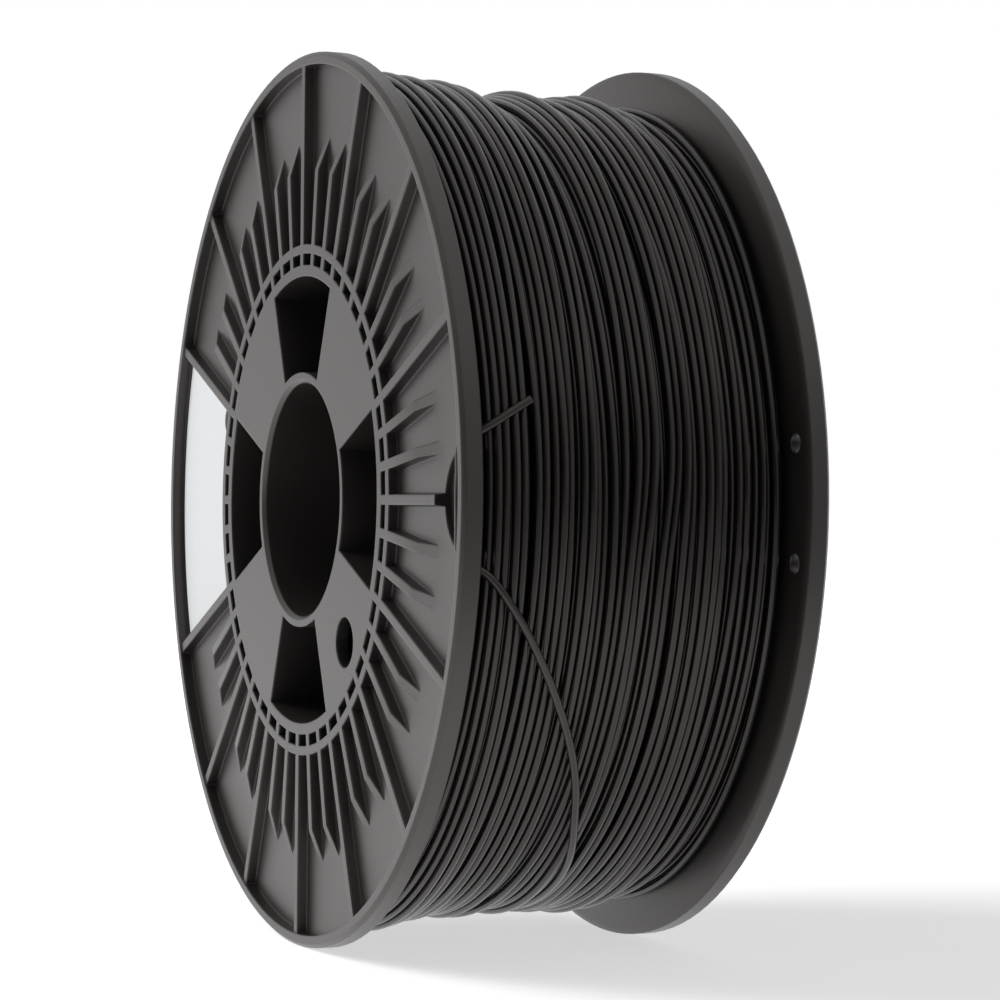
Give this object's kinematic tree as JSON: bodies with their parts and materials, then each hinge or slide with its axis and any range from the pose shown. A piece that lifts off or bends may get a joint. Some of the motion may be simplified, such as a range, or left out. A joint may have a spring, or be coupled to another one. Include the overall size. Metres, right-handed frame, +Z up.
{
  "type": "filament spool",
  "caption": "Spool of wound filament with a ribbed flange, a slotted hub ring, hub windows and a bore for a spindle; the loose end is parked through the flange.",
  "frame": {"origin": "centre of the hub bore, at mid-width", "axes": "+Y along the spin axis, away from the labelled front flange; +Z up; the spool stands on its rims at z = -0.1 m"},
  "size_m": [0.2, 0.0816, 0.2],
  "materials": {
    "spool_plastic": "fine moulded grain",
    "filament": "satin",
    "label_paper": "smooth coated paper"
  },
  "bodies": {
    "root": {"front_half": "spool_plastic", "rear_half": "spool_plastic", "label": "label_paper", "filament_core": "filament", "filament_layer": "filament", "filament_end": "filament"}
  },
  "joints": []
}
